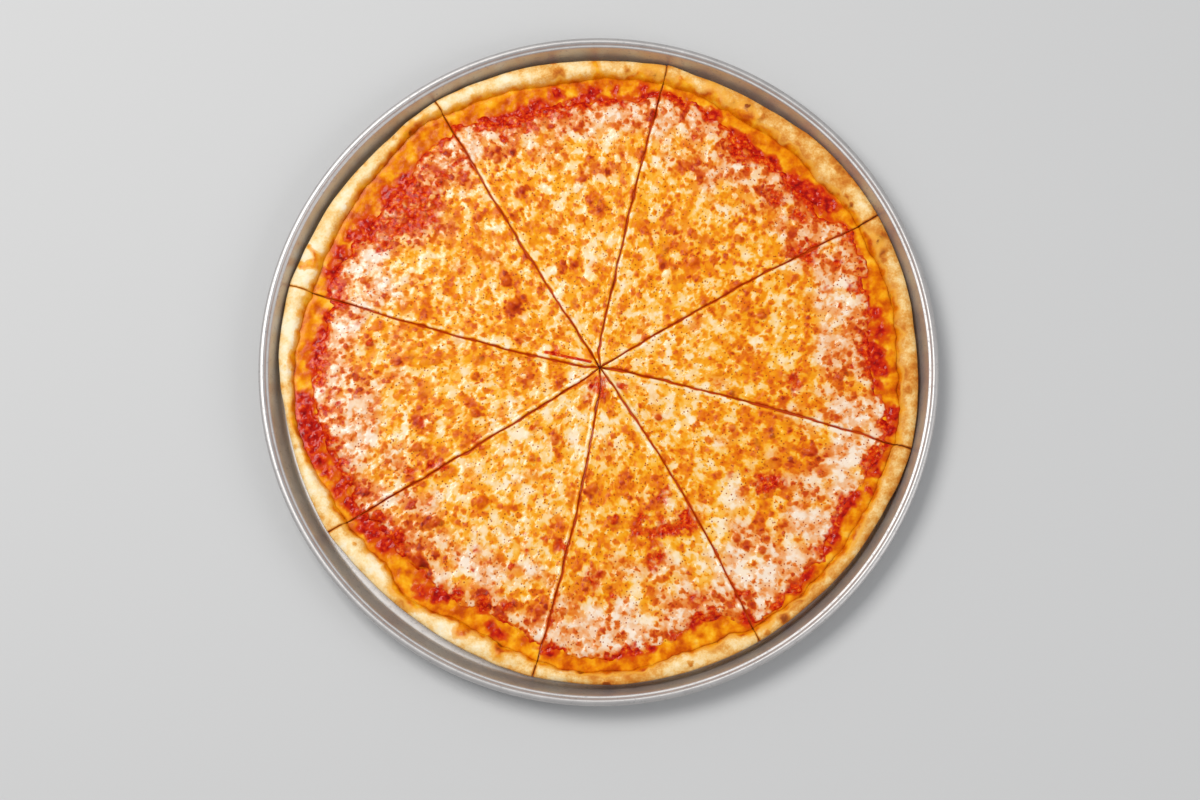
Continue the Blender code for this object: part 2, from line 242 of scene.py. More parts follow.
# Blisters full of sauce, as x, y and radius.
RED_BLISTERS = ((-156, -109, 5.0), (-144, -123, 6.5), (-99, -164, 4.0), (-178, -84, 4.0))
# Strips that a blade has dragged, as the two ends, the width and how red they are.
DRAGGED = (
    (6, -5, 26, -34, 1.5, 0.0), (-38, 10, -6, 3, 1.3, 1.0),
)
# Stains of oil and sauce on the crust.
STAINS = {
    0.9: ((-203, 73, 3),),
    0.8: ((-208, 74, 3), (84, 200, 11), (104, 188, 9), (-142, -160, 6), (-128, -172, 6), (-98, -191, 5),
        (-70, -206, 5), (-46, -208, 4)),
    0.7: ((196, 89, 9), (173, -130, 8), (-94, -188, 5), (104, -186, 7)),
    0.6: ((-203, 79, 3), (36, 217, 12), (62, 209, 8), (113, 182, 6), (118, -182, 6), (-70, -200, 4)),
    0.5: ((186, 99, 6), (181, -120, 6), (-141, 172, 7), (-40, -209, 4)),
    0.4: ((29, -214, 6), (214, 24, 5)),
}
# Drips of oil on the crust, as the two ends and the width.
DRIPS = (
    (-209.4, 87.6, -203, 79.5, 1.8), (-214.5, 72.8, -204, 74.2, 2.4), (60, 214, 63, 206, 1.6),
    (-3, 226, 1, 214, 3.0),
)
# Scorched blisters of the crust, and its three browner stretches.
SCORCHES = {
    1.1: ((-138, 174, 4),),
    1.0: ((205, 83, 2.4), (130, -181, 3)),
    0.9: ((-215, 74, 2.5), (108, 190, 3), (117, 183, 2), (99, 195, 2), (206, 77, 2.2), (-70, -204, 2.5)),
    0.8: ((-204, 74, 2.5), (-29, 218, 3.5), (-137, -168, 6), (-69, -199, 3.5), (-11, -216, 3.5),
        (201, 89, 2), (183, 119, 2.4), (44, 217, 2.6)),
    0.7: ((60, 214, 2.5), (180, 124, 2), (21, 220, 2.4)),
    0.6: ((29, -215, 3), (205, 95, 2.6), (82, 203, 2)),
    0.5: ((-30, -208, 3), (35, 221, 5)),
    0.2: ((150, 165, 46),),
    0.13: ((0, -222, 46), (150, -165, 46)),
}


# Noise and blending on whole arrays

def lattice(column, row, seed):
    """A number from 0 to 1 for each cell of a grid: its column, row and seed, scrambled as whole numbers."""
    column, row = column.astype(np.int64), row.astype(np.int64)
    mixed = column * 374761393 + row * 668265263 + seed * 2246822519
    mixed = (mixed ^ (mixed >> 13)) * 1274126177
    mixed = (mixed ^ (mixed >> 16)) & 0xFFFFFF
    return mixed / float(0x1000000)


def swell(x, y, size, seed):
    """Smooth noise from about -1 to 1: a random slope at each corner of square cells, blended by quintics."""
    u, v = x / size, y / size
    column, row = np.floor(u), np.floor(v)
    fu, fv = u - column, v - row
    bu = fu ** 3 * (fu * (fu * 6 - 15) + 10)
    bv = fv ** 3 * (fv * (fv * 6 - 15) + 10)

    def corner(i, j):
        turn = math.tau * lattice(column + i, row + j, seed)
        return np.cos(turn) * (fu - i) + np.sin(turn) * (fv - j)
    low = corner(0, 0) * (1 - bu) + corner(1, 0) * bu
    high = corner(0, 1) * (1 - bu) + corner(1, 1) * bu
    return 1.5 * (low * (1 - bv) + high * bv)


def layered(x, y, size, octaves, seed):
    """Noise of several sizes added up, each half as wide, half as strong and turned against the last."""
    total, strength = 0.0, 1.0
    for octave in range(octaves):
        total = total + strength * swell(x, y, size, seed + 17 * octave)
        x, y = 0.8 * x - 0.6 * y + 31.7, 0.6 * x + 0.8 * y - 12.9
        size, strength = size * 0.5, strength * 0.5
    return total


def bent(x, y, reach, size, octaves, seeds):
    """The points x and y moved by noise, up to about reach, so that what is drawn there is uneven."""
    return tuple(at + reach * layered(x, y, size, octaves, seed) for at, seed in zip((x, y), seeds))


def hump(value, middle, width):
    """A bell curve: 1 where the value is middle, and 0.37 a width away from there."""
    return np.exp(-((value - middle) / width) ** 2)


def step(low, high, value):
    """0 below low, 1 above high, and an S-shaped rise between them."""
    share = np.clip((value - low) / (high - low), 0.0, 1.0)
    return share * share * (3 - 2 * share)


def spots(x, y, size, seed, chance, least, most):
    """Round spots, at most one in each square cell: up to 1 in the middle, an S-shaped fall to 0 outside.

    The cells are turned by the seed, and a spot's place, radius and strength are drawn for its cell.
    """
    turn = 0.7 * seed
    x, y = math.cos(turn) * x - math.sin(turn) * y, math.sin(turn) * x + math.cos(turn) * y
    column, row = np.floor(x / size), np.floor(y / size)
    best = np.zeros_like(x)
    for i in (-1, 0, 1):
        for j in (-1, 0, 1):
            c, r = column + i, row + j
            centre_x = (c + lattice(c, r, seed)) * size
            centre_y = (r + lattice(c, r, seed + 1)) * size
            radius = least + (most - least) * lattice(c, r, seed + 2) ** 1.5
            strength = np.where(lattice(c, r, seed + 3) < chance, 0.45 + 0.55 * lattice(c, r, seed + 4), 0.0)
            away = np.hypot(x - centre_x, y - centre_y) / radius
            best = np.maximum(best, strength * (1 - step(0.4, 1.0, away)))
    return best


def patches(x, y, groups, spread=PATCH_SPREAD):
    """Soft round patches added up: their strength times a bell curve from the middle of each out."""
    total = np.zeros_like(x)
    for strength, places in groups.items():
        for place_x, place_y, radius in places:
            away = (x - place_x) ** 2 + (y - place_y) ** 2
            total += strength * np.exp(-away / (2 * (spread * radius) ** 2))
    return total


def strip(x, y, place):
    """1 on a straight line between two points, falling off over the strip's width to 0."""
    x0, y0, x1, y1, width = place[:5]
    length = math.hypot(x1 - x0, y1 - y0)
    along = ((x - x0) * (x1 - x0) + (y - y0) * (y1 - y0)) / length
    across = ((y - y0) * (x1 - x0) - (x - x0) * (y1 - y0)) / length
    past = np.maximum(np.maximum(-along, along - length), 0.0)
    return np.exp(-(across ** 2 + past ** 2) / width ** 2)


def eased(values, share):
    """Equally spaced values read at a share from 0 to 1, with an S-shaped rise from each to the next."""
    values = np.asarray(values)
    place = np.clip(share, 0.0, 1.0) * (len(values) - 1)
    index = np.minimum(place.astype(int), len(values) - 2)
    ease = place - index
    ease = ease * ease * (3 - 2 * ease)
    return values[index] * (1 - ease) + values[index + 1] * ease


def arc(centre, radius, first, last, count):
    """Points on a circle's arc between two angles in degrees, as rows of r and z."""
    turn = np.radians(np.linspace(first, last, count))
    return np.c_[centre[0] + radius * np.cos(turn), centre[1] + radius * np.sin(turn)]


def smooth_path(points, count):
    """A curve through points: between two of them a cubic whose slopes follow their neighbours."""
    points = np.asarray(points, float)
    padded = np.vstack([2 * points[0] - points[1], points, 2 * points[-1] - points[-2]])
    place = np.linspace(0, len(points) - 1, count)
    index = np.minimum(place.astype(int), len(points) - 2)
    t = (place - index)[:, None]
    a, b, c, d = (padded[index + k] for k in range(4))
    square, cube = 2 * a - 5 * b + 4 * c - d, 3 * b - a - 3 * c + d
    return 0.5 * (2 * b + (c - a) * t + square * t ** 2 + cube * t ** 3)


# Making meshes

def new_piece(name, points, faces, flat_from, attributes, material, node):
    """A mesh object from points in millimetres and groups of faces, flat-shaded from group flat_from on."""
    mesh = bpy.data.meshes.new(name)
    sizes = np.concatenate([np.full(len(group), group.shape[1]) for group in faces])
    mesh.vertices.add(len(points))
    mesh.vertices.foreach_set("co", (points * MM).astype(np.float32).ravel())
    mesh.loops.add(int(sizes.sum()))
    corners = np.concatenate([group.ravel() for group in faces])
    mesh.loops.foreach_set("vertex_index", corners.astype(np.int32))
    mesh.polygons.add(len(sizes))
    mesh.polygons.foreach_set("loop_start", np.concatenate([[0], np.cumsum(sizes)[:-1]]).astype(np.int32))
    mesh.update(calc_edges=True)
    smooth = np.ones(len(sizes), bool)
    smooth[sum(len(group) for group in faces[:flat_from]):] = False
    mesh.polygons.foreach_set("use_smooth", smooth)
    for key, values in attributes.items():
        attribute = mesh.attributes.new(key, "FLOAT", "POINT")
        attribute.data.foreach_set("value", np.asarray(values, np.float32).ravel())
    mesh.materials.append(material)
    piece = bpy.data.objects.new(name, mesh)
    bpy.context.scene.collection.objects.link(piece)
    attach(piece, "root")
    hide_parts(node)


def turned_piece(name, profile, steps, material, node):
    """A profile of r and z rows carried round the Z axis, its first and last row being poles on the axis."""
    turn = np.linspace(0, math.tau, steps, endpoint=False)
    r, z = profile[1:-1, 0:1], profile[1:-1, 1:2]
    rows = len(r)
    x, y = r * np.cos(turn), r * np.sin(turn)
    z = z + 0.0 * x
    poles = [[0, 0, profile[0, 1]], [0, 0, profile[-1, 1]]]
    points = np.vstack([np.c_[x.ravel(), y.ravel(), z.ravel()], poles])
    index = np.arange(rows * steps).reshape(rows, steps)
    around = np.roll(index, -1, axis=1)
    quads = np.stack([index[:-1], index[1:], around[1:], around[:-1]], axis=-1).reshape(-1, 4)
    top = np.stack([np.full(steps, rows * steps), index[0], around[0]], axis=-1)
    end = np.stack([np.full(steps, rows * steps + 1), around[-1], index[-1]], axis=-1)
    new_piece(name, points, [quads, top, end], 3, {}, material, node)


def wedge_piece(name, x, y, z, underside, attributes, material, node):
    """A slice's layer: a grid from the hub out and from cut to cut, closed by two cut faces and a base.

    Row 0 of the grid is one point, the tip. The last row is the edge that the base joins.
    """
    rows, columns = x.shape
    grid = np.stack([x, y, z], axis=-1)
    tip_below = [x[0, 0], y[0, 0], underside]
    points = np.vstack([grid[0, :1], grid[1:].reshape(-1, 3), [tip_below]])
    index = 1 + np.arange((rows - 1) * columns).reshape(rows - 1, columns)
    below = len(points) - 1
    fan = np.stack([np.zeros(columns - 1, int), index[0, :-1], index[0, 1:]], axis=-1)
    quads = np.stack([index[:-1, :-1], index[1:, :-1], index[1:, 1:], index[:-1, 1:]], axis=-1).reshape(-1, 4)
    first = np.concatenate([[below], index[::-1, 0], [0]])[None]
    last = np.concatenate([[0], index[:, -1], [below]])[None]
    base = np.concatenate([[below], index[-1, ::-1]])[None]
    spread = {key: np.concatenate([value[0, :1], value[1:].ravel(), value[0, :1]])
              for key, value in attributes.items()}
    new_piece(name, points, [fan, quads, first, last, base], 2, spread, material, node)


# The plan of the slices

def bank(past_crease):
    """The height of the dough under the topping, which rises towards the crease."""
    return DOUGH_TOP + BANK_RISE * step(-BANK_WIDTH, 1.0, past_crease)


def sauce_height(past_crease):
    """The mean height of the sauce, which thins out towards the crease."""
    cover = 1 - 0.6 * np.clip(1 + past_crease / SAUCE_THINNING, 0, 1) ** 2
    return bank(past_crease) + (SAUCE_TOP - DOUGH_TOP) * cover


def cut_direction(start, radius):
    """The direction in radians of the cut from the hub to the rim's point at this angle and radius."""
    angle = math.radians(start)
    return math.atan2(radius * math.sin(angle) - HUB[1], radius * math.cos(angle) - HUB[0])


def cut_stray(number, distance):
    """How far a cut lies to the left of its straight line at a distance from the hub.

    A shift that fades out along the cut and in the hub's bend, a bow widest half way, and smooth noise.
    """
    along = distance / CUT_LENGTH
    row = SLICES[number]
    shift = row["shift"] * np.clip(1 - along, 0, 1) * step(0.0, HUB_BEND, distance)
    bow = row["bow"] * np.sin(math.pi * np.clip(along, 0, 1))
    own_line = np.full_like(distance, 7.3 * number)
    fade_in = np.minimum(distance / CUT_WAVE_LENGTH, 1.0)
    return shift + bow + CUT_WAVE * fade_in * layered(distance, own_line, CUT_WAVE_LENGTH, 2, 401)


class Slice:
    """One slice's plan: where its two cuts run, and its radii at any share of the way between them."""

    def __init__(self, number, gape=0.0):
        row = SLICES[number]
        following = SLICES[(number + 1) % len(SLICES)]
        self.number = number
        self.name = row["name"]
        self.row = row
        self.first = cut_direction(row["start"], row["outer"][0])
        self.last = cut_direction(following["start"], row["outer"][-1])
        if self.last < self.first:
            self.last += math.tau
        self.gape = gape
        self.tip = KERF / 2 / math.sin((self.last - self.first) / 2)

    def radius(self, key, share):
        return eased(self.row[key], share)

    def from_hub(self, radius, share):
        """The distance from the hub to a circle about the pan's axis, on the line at this share."""
        turn = self.first + (self.last - self.first) * share
        return radius - HUB[0] * np.cos(turn) - HUB[1] * np.sin(turn)

    def half_cut(self, distance, side):
        """Half the width of the cut on one side, which gapes here and there."""
        own_line = np.full_like(distance, 11.7 * self.number + 5.1 * side)
        return KERF / 2 + self.gape * np.clip(swell(distance, own_line, GAPE_LENGTH, 411), 0, 1)

    def crease(self, share):
        """The distance from the hub to the wavy crease between topping and rim."""
        place = CREASE_RADIUS * (self.first + (self.last - self.first) * share)
        wave = CREASE_WAVE * layered(place, np.full_like(place, 3.0), CREASE_WAVE_LENGTH, 3, 421)
        return self.from_hub(self.radius("inner", share) + wave, share)

    def plan(self, distance, share):
        """x and y of points at distances from the hub, and at shares from the first cut to the last."""
        distance = np.maximum(distance, self.tip)
        following = (self.number + 1) % len(SLICES)
        inset_first = (self.half_cut(distance, 1) + cut_stray(self.number, distance)) / distance
        inset_last = (self.half_cut(distance, 2) - cut_stray(following, distance)) / distance
        first = self.first + np.arcsin(np.clip(inset_first, -1, 1))
        last = self.last - np.arcsin(np.clip(inset_last, -1, 1))
        turn = first + (last - first) * share
        return HUB[0] + distance * np.cos(turn), HUB[1] + distance * np.sin(turn)

    def to_cut(self, distance, share):
        """The distance of a point from the nearer cut."""
        span = self.last - self.first
        return np.minimum(share, 1 - share) * span * distance


def closing_in(count, power):
    """Shares from 0 to 1 that lie closer together towards both ends."""
    share = np.linspace(-1, 1, count)
    return 0.5 + 0.5 * np.sign(share) * (1 - (1 - np.abs(share)) ** power)


# Shader nodes

class Socket:
    """A node's output. Arithmetic on it adds the Math nodes that work it out."""

    def __init__(self, finish, link):
        self.finish = finish
        self.link = link

    def math(self, operation, *values):
        sockets = dict(enumerate(values))
        return self.finish.node("ShaderNodeMath", {"operation": operation}, sockets)

    def __add__(self, other):
        return self.math("ADD", self, other)

    def __radd__(self, other):
        return self.math("ADD", other, self)

    def __sub__(self, other):
        return self.math("SUBTRACT", self, other)

    def __rsub__(self, other):
        return self.math("SUBTRACT", other, self)

    def __mul__(self, other):
        return self.math("MULTIPLY", self, other)

    def __rmul__(self, other):
        return self.math("MULTIPLY", other, self)

    def rise(self, low, high):
        """0 below low, 1 above high, and an S-shaped rise between them."""
        return self.finish.node("ShaderNodeMapRange", {"interpolation_type": "SMOOTHSTEP"},
                                {"Value": self, "From Min": low, "From Max": high})


def tone(red, green, blue):
    """A colour as it shows on a screen, from 0 to 255, as linear light."""
    shown = np.array([red, green, blue]) / 255.0
    linear = np.where(shown <= 0.04045, shown / 12.92, ((shown + 0.055) / 1.055) ** 2.4)
    return (*linear.tolist(), 1.0)


class Finish:
    """A material and the one method that adds nodes to it."""

    def __init__(self, name, **settings):
        self.material = bpy.data.materials.new(name)
        self.material.use_nodes = True
        self.tree = self.material.node_tree
        self.shader = self.tree.nodes["Principled BSDF"]
        self.feed(self.shader, settings)
        place = self.node("ShaderNodeTexCoord", {}, {}, "Object")
        self.place = self.node("ShaderNodeVectorMath", {"operation": "SCALE"}, {0: place, "Scale": 1000.0})

    def feed(self, node, sockets):
        """Gives sockets their links or values. In their names an underscore stands for a space."""
        for key, value in sockets.items():
            key = key.replace("_", " ") if isinstance(key, str) else key
            if isinstance(value, Socket):
                self.tree.links.new(value.link, node.inputs[key])
            else:
                node.inputs[key].default_value = value

    def node(self, kind, settings, sockets, output=0):
        """Adds a node with these settings, feeds its sockets and returns an output."""
        node = self.tree.nodes.new(kind)
        for key, value in settings.items():
            if key == "stops":
                self.set_stops(node.color_ramp.elements, value)
            else:
                setattr(node, key, value)
        self.feed(node, sockets)
        return Socket(self, node.outputs[output])

    def set_stops(self, elements, stops):
        while len(elements) < len(stops):
            elements.new(1.0)
        for element, (place, colour) in zip(elements, stops):
            element.position = place
            element.color = tone(*colour)

    def ramp(self, value, stops):
        """A colour that runs through stops, each a place from 0 to 1 and a colour."""
        return self.node("ShaderNodeValToRGB", {"stops": stops}, {0: value})

    def attribute(self, name):
        return self.node("ShaderNodeAttribute", {"attribute_name": name}, {}, "Fac")

    def grain(self, size, detail=2.0, shift=0.0):
        """Noise from 0 to 1 whose bumps are this many millimetres across."""
        location = (shift, 2 * shift, 0.5 * shift)
        moved = self.node("ShaderNodeMapping", {}, {"Vector": self.place, "Location": location})
        return self.node("ShaderNodeTexNoise", {}, {"Vector": moved, "Scale": 1.0 / size, "Detail": detail})

    def speckle(self, size):
        """The distance to the nearest of points scattered this many millimetres apart, in those units."""
        return self.node("ShaderNodeTexVoronoi", {}, {"Vector": self.place, "Scale": 1.0 / size})

    def mixed(self, under, over, share):
        return self.node("ShaderNodeMix", {"data_type": "RGBA"}, {0: share, 6: under, 7: over}, 2)

    def bump(self, height, depth):
        """Turns a height from 0 to 1 into small relief this many millimetres deep."""
        relief = {"Height": height, "Distance": depth * MM, "Strength": 1.0}
        self.feed(self.shader, {"Normal": self.node("ShaderNodeBump", {}, relief)})

    def paint(self, **sockets):
        self.feed(self.shader, sockets)
        return self.material


def aluminium_finish():
    """Spun aluminium: fine turning lines, dull patches and scuffs."""
    finish = Finish("spun_aluminium", Metallic=0.72)
    flat = finish.node("ShaderNodeVectorMath", {"operation": "MULTIPLY"}, {0: finish.place, 1: (1, 1, 0)})
    radius = finish.node("ShaderNodeVectorMath", {"operation": "LENGTH"}, {0: flat}, "Value")
    rings = finish.node("ShaderNodeCombineXYZ", {}, {"X": radius, "Y": finish.grain(60.0) * 1.5})
    lines = finish.node("ShaderNodeTexNoise", {}, {"Vector": rings, "Scale": 1.6, "Detail": 3.0})
    dull = finish.grain(9.0, 4.0)
    scuff = finish.grain(2.2, 5.0, shift=40.0)
    shade = finish.mixed(tone(186, 182, 180), tone(208, 205, 203), dull)
    shade = finish.mixed(shade, tone(158, 155, 155), scuff.rise(0.56, 0.72) * 0.5)
    finish.bump(lines * 0.6 + scuff * 0.4, 0.03)
    return finish.paint(Base_Color=shade, Roughness=0.34 + 0.16 * dull + 0.1 * scuff.rise(0.5, 0.7))


def crust_finish():
    """Baked dough: flour-pale to golden, scorched on its blisters, stained orange by oil inside the rim, with
    painted shade in the crease and along the cuts.
    """
    finish = Finish("baked_crust", Specular_IOR_Level=0.25)
    toast = finish.attribute("toast")
    stain = finish.attribute("stain")
    blotch = finish.grain(11.0, 4.0)
    fine = finish.grain(1.5, 3.0, shift=12.0)
    browned = toast + 0.42 * (blotch - 0.5) + 0.44 * (fine - 0.5)
    colour = finish.ramp(browned, (
        (0.0, (255, 240, 206)), (0.16, (255, 227, 174)), (0.34, (248, 204, 130)), (0.5, (234, 168, 78)),
        (0.66, (218, 134, 40)), (0.82, (198, 106, 20)), (1.0, (158, 74, 8))))
    oily = stain + 0.25 * (fine - 0.5) + 0.5 * (blotch - 0.5)
    colour = finish.mixed(colour, tone(246, 176, 60), oily.rise(0.05, 0.4) * 0.8)
    colour = finish.mixed(colour, oil_colour(finish), oily.rise(0.35, 0.95))
    colour = finish.mixed(colour, tone(150, 68, 6), (toast + 0.4 * (fine - 0.5)).rise(0.9, 1.2))
    finish.bump(fine * 0.6 + finish.grain(0.6, 2.0) * 0.4, 0.3)
    return finish.paint(Base_Color=colour, Roughness=0.7 - 0.42 * oily.rise(0.3, 0.8))


def oil_colour(finish):
    """Golden orange oil, in broad soft patches."""
    return finish.ramp(finish.grain(9.0, 4.0, shift=9.0), (
        (0.3, (192, 72, 0)), (0.41, (218, 106, 0)), (0.52, (238, 142, 4)), (0.64, (250, 176, 28)),
        (0.76, (253, 202, 80))))


def sauce_colour(finish, red, pulp):
    """Orange oil over sauce where red is 0, and deep red pulp where it is 1."""
    deep = finish.ramp(pulp, (
        (0.3, (134, 2, 0)), (0.44, (180, 15, 0)), (0.57, (209, 44, 0)), (0.74, (234, 104, 12))))
    depth = red + 0.5 * (pulp - 0.5)
    between = finish.mixed(oil_colour(finish), tone(214, 76, 4), depth.rise(0.06, 0.36))
    return finish.mixed(between, deep, depth.rise(0.3, 0.58))


def sauce_finish():
    """Cooked tomato sauce: wet red pulp, orange where oil has gathered, and painted shade darkening it along
    the cuts and in the crease.
    """
    finish = Finish("tomato_sauce", Specular_IOR_Level=0.1, Coat_Roughness=0.06)
    pulp = finish.grain(4.0, 3.0)
    red = finish.attribute("red")
    colour = sauce_colour(finish, red, pulp)
    # Painted shade: the sauce is darkened to red-brown along the cuts and in the crease, as if in shade.
    colour = finish.mixed(colour, tone(150, 48, 4), finish.attribute("side") * 0.9)
    finish.bump(pulp, 0.25)
    return finish.paint(Base_Color=colour, Roughness=0.12 + 0.14 * pulp, Coat_Weight=0.2 * red.rise(0.3, 0.6))


def cheese_finish():
    """Melted cheese, cream through amber to brown, rosy where sauce has soaked in and red where it shows,
    with painted shade on the cut faces and blisters and a painted highlight on one lip of each cut.
    """
    finish = Finish("melted_cheese", Specular_IOR_Level=0.13, Coat_Roughness=0.12)
    red = finish.attribute("red")
    bare = finish.attribute("bare")
    fine = finish.grain(1.0, 3.0, shift=5.0)
    mid = finish.grain(3.2, 3.0, shift=21.0)
    browned = finish.attribute("toast") + 0.2 * (mid - 0.5) + 0.06 * (fine - 0.5)
    warm = finish.ramp(browned, (
        (0.0, (254, 233, 198)), (0.12, (253, 222, 170)), (0.25, (252, 206, 130)), (0.37, (251, 187, 68)),
        (0.49, (247, 163, 16)), (0.6, (241, 141, 0)), (0.7, (231, 117, 0)), (0.8, (217, 92, 0)),
        (0.9, (197, 68, 0)), (1.0, (166, 46, 0))))
    rosy = finish.ramp(browned, (
        (0.0, (251, 230, 208)), (0.12, (248, 213, 180)), (0.26, (244, 192, 146)), (0.4, (240, 167, 106)),
        (0.52, (233, 137, 60)), (0.64, (221, 104, 22)), (0.77, (202, 68, 4)), (0.9, (174, 40, 0)),
        (1.0, (134, 26, 0))))
    pool = finish.grain(16.0, 3.0, shift=55.0).rise(0.52, 0.68) * 0.3
    warm = finish.mixed(warm, tone(252, 182, 8), pool)
    colour = finish.mixed(warm, rosy, finish.attribute("rosy").rise(0.2, 0.9))
    redness = (red + 0.5 * (mid - 0.5)).rise(0.2, 0.76)
    pulp = finish.ramp(mid + 0.4 * (fine - 0.5), (
        (0.3, (154, 8, 0)), (0.44, (198, 28, 0)), (0.58, (224, 70, 4)), (0.74, (242, 140, 36))))
    colour = finish.mixed(colour, pulp, redness)
    under = sauce_colour(finish, red, mid)
    colour = finish.mixed(colour, under, (bare + 0.7 * (mid - 0.5)).rise(0.3, 0.7))
    speck_field = finish.grain(6.0, 2.0, shift=70.0)
    specks = (1 - finish.speckle(3.0).rise(0.12, 0.26)) * speck_field.rise(0.34, 0.48)
    colour = finish.mixed(colour, tone(172, 68, 2), specks)
    # Painted shade: the cut faces are coloured darker orange-red, as the narrow cuts are in shade.
    colour = finish.mixed(colour, tone(196, 66, 6), finish.attribute("side"))
    finish.bump(fine * 0.4 + mid * 0.6, 0.28)
    greasy = (1 - redness) * (1 - 0.95 * browned.rise(0.25, 0.6)) * 0.7
    return finish.paint(Base_Color=colour, Roughness=0.36 - 0.2 * redness, Coat_Weight=greasy)


# The pan

def build_pan():
    """Floor, foot fillet, sloping wall, rounded step, rolled edge and underside, carried round the axis."""
    foot_centre = (PAN_FOOT_RADIUS, PAN_SHEET + PAN_FOOT_FILLET)
    tilt = math.radians(WALL_TILT)
    floor_in = np.c_[[0.0, 60.0, 120.0, 180.0, 210.0, 220.0], np.full(6, PAN_SHEET)]
    foot_in = arc(foot_centre, PAN_FOOT_FILLET, -90, -WALL_TILT, 8)
    rounded_step = arc(STEP_CENTRE, STEP_RADIUS, 180 - WALL_TILT, 90, 9)
    wall = foot_in[-1] + (rounded_step[0] - foot_in[-1]) * np.linspace(0, 1, 8)[1:-1, None]
    bead = smooth_path(np.array(BEAD_SECTION) + (PAN_RADIUS, PAN_HEIGHT), 40)
    drop = rounded_step[0, 1] - bead[-1, 1]
    wall_radius = rounded_step[0, 0] - drop * math.tan(tilt) + PAN_SHEET / math.cos(tilt)
    wall_top = np.array([[wall_radius, bead[-1, 1]]])
    foot_out = arc(foot_centre, PAN_FOOT_FILLET + PAN_SHEET, -WALL_TILT, -90, 8)
    floor_out = np.c_[[220.0, 150.0, 80.0, 0.0], np.zeros(4)]
    profile = np.vstack([floor_in, foot_in, wall, rounded_step, bead, wall_top, foot_out, floor_out])
    turned_piece("spun_pan", profile, PAN_STEPS, aluminium_finish(), "pan")


# The dough

CRUST_ROWS = 84
CRUST_COLUMNS = 240
CREASE = 0.8
# The crust is coloured darker towards the right.
CRUST_DARKER_TO_RIGHT = 0.16
RIM_TUCK = 3.6
# The rim's section from the crease over the top to its belly, as shares of its width and of its rise.
RIM_SECTION = (
    (0.0, 0.0), (0.06, 0.3), (0.18, 0.7), (0.36, 0.95), (0.56, 1.0), (0.78, 0.93), (0.95, 0.76), (1.0, 0.56))


def build_crust(number, material):
    """A slice's dough: flat under the topping, then a puffed rim with bubbles, and straight down to the base.

    The grid's rows run from the hub to the crease, over the rim by its section, and in under the belly.
    """
    part = Slice(number)
    share = closing_in(CRUST_COLUMNS, 1.25)[None, :]
    inner = part.crease(share)
    outer = part.from_hub(part.radius("outer", share), share)
    ground = np.concatenate([[0.0, 0.3, 0.6, 0.8], np.linspace(0.86, 1.0, 26)])[:, None]
    flat_distance = part.tip + (inner - part.tip) * ground
    tuck = np.linspace(0, 1, 10)[1:, None]
    section = smooth_path(RIM_SECTION, CRUST_ROWS - len(ground) - len(tuck) + 1)[1:]
    rim_distance = inner + (outer - inner) * section[:, 0:1]
    tuck_distance = outer - RIM_TUCK * tuck ** 1.4
    distance = np.vstack([flat_distance, rim_distance, tuck_distance])
    x, y = part.plan(distance, share)
    top_side = np.arange(len(distance))[:, None] < len(flat_distance) + len(rim_distance)
    past_crease = distance - inner

    rise = section[:, 1:2]
    over = DOUGH_TOP + rise * RIM_RISE + BANK_RISE * np.clip(1 - 6 * rise, 0, 1) + 0 * rim_distance
    belly = DOUGH_TOP + RIM_SECTION[-1][1] * RIM_RISE
    under = DOUGH_UNDERSIDE + (belly - DOUGH_UNDERSIDE) * (1 - tuck) + 0 * tuck_distance
    z = np.vstack([bank(flat_distance - inner), over, under])
    on_rim = np.clip((z - DOUGH_TOP) / RIM_RISE, 0, 1) * np.where(past_crease > -1, 1.0, 0.0)
    bent_x, bent_y = bent(x, y, 1.2, 5.0, 2, (55, 57))
    scorch = np.clip(patches(bent_x, bent_y, SCORCHES, SCORCH_SPREAD), 0, 1.2)
    bubble = spots(bent_x, bent_y, 15.0, 61, 0.3, 2.0, 5.0)
    puffs = 0.14 * layered(x, y, 34.0, 2, 51) + 0.06 * layered(x, y, 11.0, 2, 52)
    z = z + RIM_RISE * puffs * on_rim
    z = z + (0.6 * step(0.0, 0.8, bubble) + 0.5 * scorch) * on_rim
    z = z + (0.13 * layered(x, y, 5.4, 3, 66) - CREASE * hump(past_crease, 0.2, 0.8)) * top_side
    edge = part.to_cut(distance, share)
    z = z - 0.8 * np.clip(1 - edge / 1.2, 0, 1) ** 2 * top_side

    crease_shade = hump(past_crease, 0.9, 1.1) * (0.5 + 0.6 * layered(x, y, 15.0, 2, 75))
    rim_share = np.clip(past_crease / np.maximum(outer - inner, 1.0), 0, 1)
    toast = 0.27 + 0.2 * layered(x, y, 26.0, 3, 71) + 0.15 * layered(x, y, 6.0, 3, 73)
    toast = toast + 0.12 * hump(past_crease, 3.5, 2.5)
    # Painted shade: the crust is coloured darker along the cuts, where they lie in shade.
    toast = toast + CRUST_DARKER_TO_RIGHT * x / PAN_RADIUS + 0.5 * hump(edge, 0.0, 0.9)
    toast = toast + 0.14 * step(0.6, 1.0, rim_share) + 0.36 * step(0.2, 0.9, bubble)
    # Painted shade: the crease inside the rim is coloured darker through crease_shade, as if in shade.
    toast = toast + 0.6 * scorch + 0.5 * np.clip(crease_shade, 0, 1)
    soaked = 1.0 - step(-0.5, 5.5, past_crease + 2.6 * layered(x, y, 12.0, 3, 81))
    stain = np.clip(soaked, 0, 1.1) + patches(bent_x, bent_y, STAINS)
    for place in DRIPS:
        stain = stain + 0.9 * strip(bent_x, bent_y, place)
    wedge_piece(f"crust_{part.name}", x, y, z, DOUGH_UNDERSIDE, {"toast": toast, "stain": stain},
                material, f"dough_{part.name}")


# The sauce

SAUCE_ROWS = 64
SAUCE_COLUMNS = 240
SAUCE_OVERLAP = 0.6


